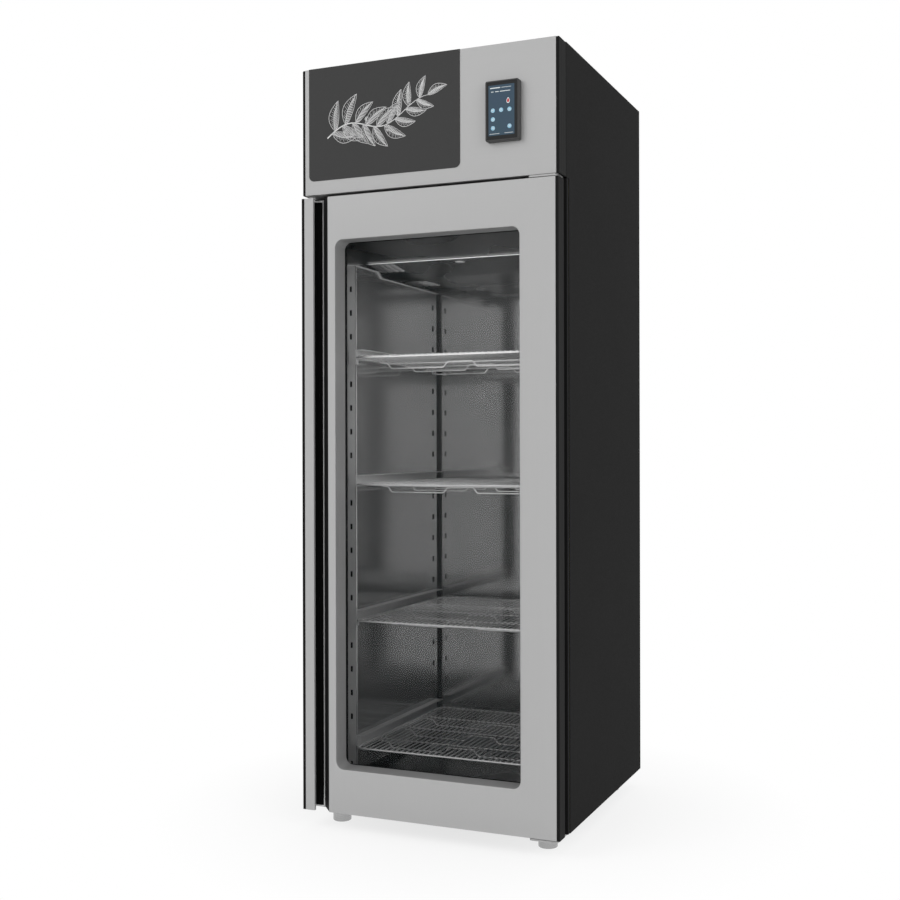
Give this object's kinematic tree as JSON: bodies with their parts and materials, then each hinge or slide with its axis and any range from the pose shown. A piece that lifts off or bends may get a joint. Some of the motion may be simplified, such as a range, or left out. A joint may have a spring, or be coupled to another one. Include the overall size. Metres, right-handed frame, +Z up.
{
  "type": "dry aging cabinet",
  "caption": "Upright dry aging cabinet with a glazed door, wire shelves on slotted racks and a machine compartment on top.",
  "frame": {"origin": "centre of the overall box, on the floor", "axes": "+X to the right seen from the front, +Y to the back, +Z up"},
  "size_m": [0.74, 0.8223, 2.08],
  "materials": {
    "black_steel": "satin black powder coat",
    "stainless": "brushed",
    "mirror_stainless": "bright annealed",
    "black_plastic": "matt",
    "dark_panel": "satin, printed",
    "display_case": "satin",
    "screen": "gloss",
    "wire": "bright",
    "galvanised": "galvanised",
    "foam": "rigid foam",
    "glass": "clear",
    "light": "frosted",
    "rubber": "matt",
    "foot_steel": "satin"
  },
  "bodies": {
    "cabinet": {"side_panel_left": "black_steel", "side_panel_right": "black_steel", "rear_panel": "galvanised", "base_panel": "galvanised", "top_cover": "black_steel", "compartment_deck": "galvanised", "wall_insulation": "foam", "liner_left": "mirror_stainless", "liner_right": "mirror_stainless", "liner_rear": "mirror_stainless", "liner_floor": "mirror_stainless", "liner_ceiling": "mirror_stainless", "door_frame": "black_plastic", "rack_panel_left": "mirror_stainless", "rack_panel_right": "mirror_stainless", "air_duct_shroud": "mirror_stainless", "led_light_bar": "light", "evaporator_coil": "galvanised", "evaporator_fan_plate": "galvanised", "compressor": "black_steel", "condenser_coil": "galvanised", "condenser_fan_bracket": "galvanised", "control_box": "black_plastic", "cable_gland": "rubber", "header_front": "stainless", "header_end_left": "black_plastic", "header_end_right": "black_plastic", "art_panel": "dark_panel", "display_housing": "display_case", "display_screen": "screen", "foot_front_left": "foot_steel", "foot_front_right": "foot_steel", "foot_rear_left": "foot_steel", "foot_rear_right": "foot_steel", "hinge_plate_top": "stainless", "hinge_plate_bottom": "stainless", "shelf_runner_left_1": "stainless", "shelf_runner_left_2": "stainless", "shelf_runner_left_3": "stainless", "shelf_runner_left_4": "stainless", "shelf_runner_right_1": "stainless", "shelf_runner_right_2": "stainless", "shelf_runner_right_3": "stainless", "shelf_runner_right_4": "stainless"},
    "door": {"door_front_skin": "stainless", "door_core": "black_plastic", "door_edge_left": "black_plastic", "door_edge_right": "black_plastic", "handle_lip": "stainless", "handle_channel": "stainless", "window_glass_outer": "glass", "window_glass_inner": "glass", "glazing_spacer": "black_plastic", "door_gasket": "rubber"},
    "evaporator_fan": {"evaporator_fan": "black_plastic"},
    "condenser_fan": {"condenser_fan": "black_plastic"},
    "shelf_1": {"wire_shelf_1": "wire"},
    "shelf_2": {"wire_shelf_2": "wire"},
    "shelf_3": {"wire_shelf_3": "wire"},
    "shelf_4": {"wire_shelf_4": "wire"}
  },
  "joints": [
    {"name": "door_hinge", "type": "hinge", "parent": "cabinet", "child": "door", "pos_m": [0.352, -0.37685, 0.049], "axis": [0, 0, 1], "range_deg": [0, 110]},
    {"name": "evaporator_fan_spin", "type": "hinge", "parent": "cabinet", "child": "evaporator_fan", "pos_m": [0.12, 0.04215, 1.62005], "axis": [0, 1, 0], "continuous": true},
    {"name": "condenser_fan_spin", "type": "hinge", "parent": "cabinet", "child": "condenser_fan", "pos_m": [-0.12, 0.24215, 1.875], "axis": [0, 1, 0], "continuous": true},
    {"name": "shelf_1_slide", "type": "slide", "parent": "cabinet", "child": "shelf_1", "axis": [0, -1, 0], "range_m": [-0.018, 0.018]},
    {"name": "shelf_2_slide", "type": "slide", "parent": "cabinet", "child": "shelf_2", "axis": [0, -1, 0], "range_m": [-0.018, 0.018]},
    {"name": "shelf_3_slide", "type": "slide", "parent": "cabinet", "child": "shelf_3", "axis": [0, -1, 0], "range_m": [-0.018, 0.018]},
    {"name": "shelf_4_slide", "type": "slide", "parent": "cabinet", "child": "shelf_4", "axis": [0, -1, 0], "range_m": [-0.018, 0.018]}
  ]
}
